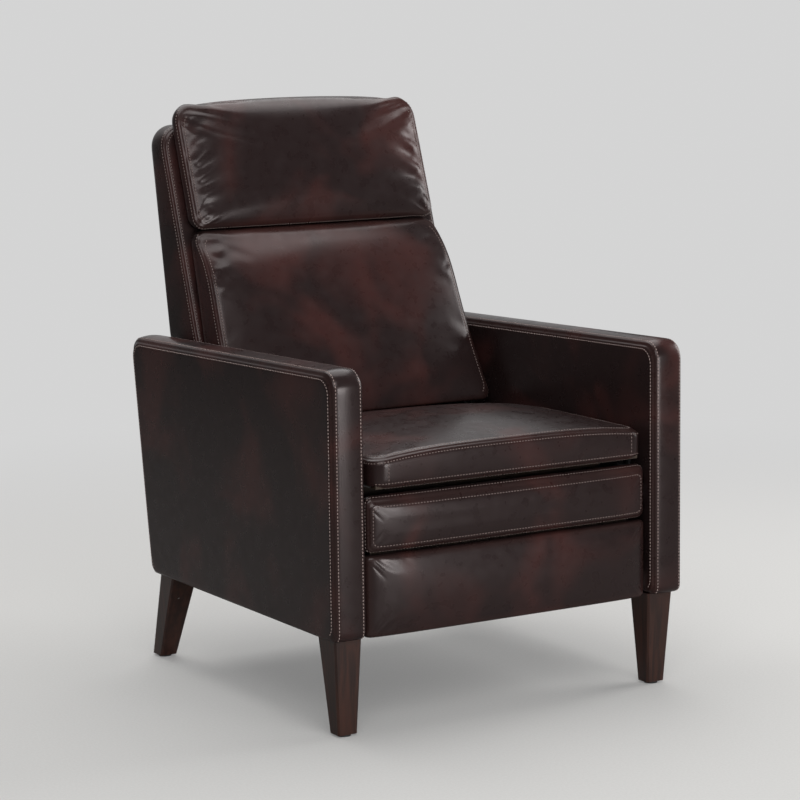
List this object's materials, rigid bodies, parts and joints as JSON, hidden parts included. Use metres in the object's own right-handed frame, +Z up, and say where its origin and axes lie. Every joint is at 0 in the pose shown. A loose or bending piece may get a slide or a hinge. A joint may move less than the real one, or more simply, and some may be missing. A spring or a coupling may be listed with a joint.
{
  "type": "pushback recliner",
  "caption": "Upholstered pushback recliner on tapered legs: the back leans, the seat glides forward and a scissor linkage throws out the padded footrest.",
  "frame": {"origin": "on the floor, midway between the arms and midway between the frontmost and rearmost points", "axes": "+Z up, the front of the chair towards -Y, +X to the right in a front view"},
  "size_m": [0.712, 0.8117, 1.028],
  "materials": {
    "leather": "semi-gloss two-tone brush-off, dark brown over oxblood",
    "leg_wood": "satin dark espresso stain",
    "frame_wood": "raw sawn hardwood and plywood",
    "mechanism_steel": "black semi-gloss coat",
    "fastener_steel": "zinc plated",
    "webbing": "woven elastic strap",
    "glide_plastic": "matte"
  },
  "bodies": {
    "base": {"arm_frame_left": "frame_wood", "arm_frame_right": "frame_wood", "arm_boxing_left": "leather", "arm_boxing_right": "leather", "arm_inner_panel_left": "leather", "arm_inner_panel_right": "leather", "arm_outer_panel_left": "leather", "arm_outer_panel_right": "leather", "front_leg_left": "leg_wood", "front_leg_right": "leg_wood", "rear_leg_left": "leg_wood", "rear_leg_right": "leg_wood", "hanger_plate_left": "mechanism_steel", "hanger_plate_right": "mechanism_steel", "back_pivot_plate_left": "mechanism_steel", "back_pivot_plate_right": "mechanism_steel", "leg_bolts": "fastener_steel", "leg_glides": "glide_plastic", "front_rail": "frame_wood", "rear_rail": "frame_wood", "rear_panel": "leather", "corner_brackets": "mechanism_steel", "plate_bolts": "fastener_steel", "base_pivot_pins": "fastener_steel"},
    "front_hangers": {"front_hanger_left": "mechanism_steel", "front_hanger_right": "mechanism_steel"},
    "back": {"back_bracket_left": "mechanism_steel", "back_bracket_right": "mechanism_steel", "back_stile_left": "frame_wood", "back_stile_right": "frame_wood", "back_top_rail": "frame_wood", "back_middle_rail": "frame_wood", "back_bottom_rail": "frame_wood", "back_webbing": "webbing", "back_shell": "leather", "lumbar_cushion": "leather", "head_pillow": "leather"},
    "seat": {"seat_side_plate_left": "mechanism_steel", "seat_side_plate_right": "mechanism_steel", "seat_side_rail_left": "frame_wood", "seat_side_rail_right": "frame_wood", "seat_front_rail": "frame_wood", "seat_rear_rail": "frame_wood", "seat_nose_board": "frame_wood", "seat_webbing": "webbing", "seat_cushion": "leather"},
    "crank": {"scissor_crank_left": "mechanism_steel", "scissor_crank_right": "mechanism_steel", "torque_tube": "mechanism_steel"},
    "scissor_links": {"scissor_link_left": "mechanism_steel", "scissor_link_right": "mechanism_steel"},
    "footrest": {"footrest_link_left": "mechanism_steel", "footrest_link_right": "mechanism_steel", "footrest_board": "frame_wood", "footrest_upper_pad": "leather", "footrest_lower_pad": "leather"},
    "stays": {"stay_link_left": "mechanism_steel", "stay_link_right": "mechanism_steel"}
  },
  "joints": [
    {"name": "back_recline", "type": "hinge", "parent": "base", "child": "back", "pos_m": [0, 0.19398, 0.48], "axis": [-1, 0, 0], "range_deg": [0, 27], "stiffness_Nm_per_rad": 20, "springref_deg": -28.65},
    {"name": "seat_hinge", "type": "hinge", "parent": "back", "child": "seat", "pos_m": [0, 0.19398, 0.34], "axis": [-1, 0, 0], "range_deg": [-27.01, 0]},
    {"name": "hanger_swing", "type": "hinge", "parent": "base", "child": "front_hangers", "pos_m": [0, -0.22602, 0.4], "axis": [-1, 0, 0], "range_deg": [0, 27.01]},
    {"name": "crank_turn", "type": "hinge", "parent": "seat", "child": "crank", "pos_m": [0, -0.29602, 0.345], "axis": [-1, 0, 0], "range_deg": [0, 75.01]},
    {"name": "scissor_cross", "type": "hinge", "parent": "crank", "child": "scissor_links", "pos_m": [0, -0.30516, 0.27056], "axis": [-1, 0, 0], "range_deg": [-150.01, 0]},
    {"name": "footrest_turn", "type": "hinge", "parent": "scissor_links", "child": "footrest", "pos_m": [0, -0.3143, 0.345], "axis": [-1, 0, 0], "range_deg": [0, 150.01]},
    {"name": "stay_turn", "type": "hinge", "parent": "footrest", "child": "stays", "pos_m": [0, -0.32344, 0.27056], "axis": [-1, 0, 0], "range_deg": [-150.01, 0]}
  ],
  "couplings": [
    {"joint": "seat_hinge", "follows": "back_recline", "ratio": -1},
    {"joint": "hanger_swing", "follows": "back_recline", "ratio": 1},
    {"joint": "crank_turn", "follows": "back_recline", "ratio": 2.7778},
    {"joint": "scissor_cross", "follows": "back_recline", "ratio": -5.5556},
    {"joint": "footrest_turn", "follows": "back_recline", "ratio": 5.5556},
    {"joint": "stay_turn", "follows": "back_recline", "ratio": -5.5556}
  ]
}
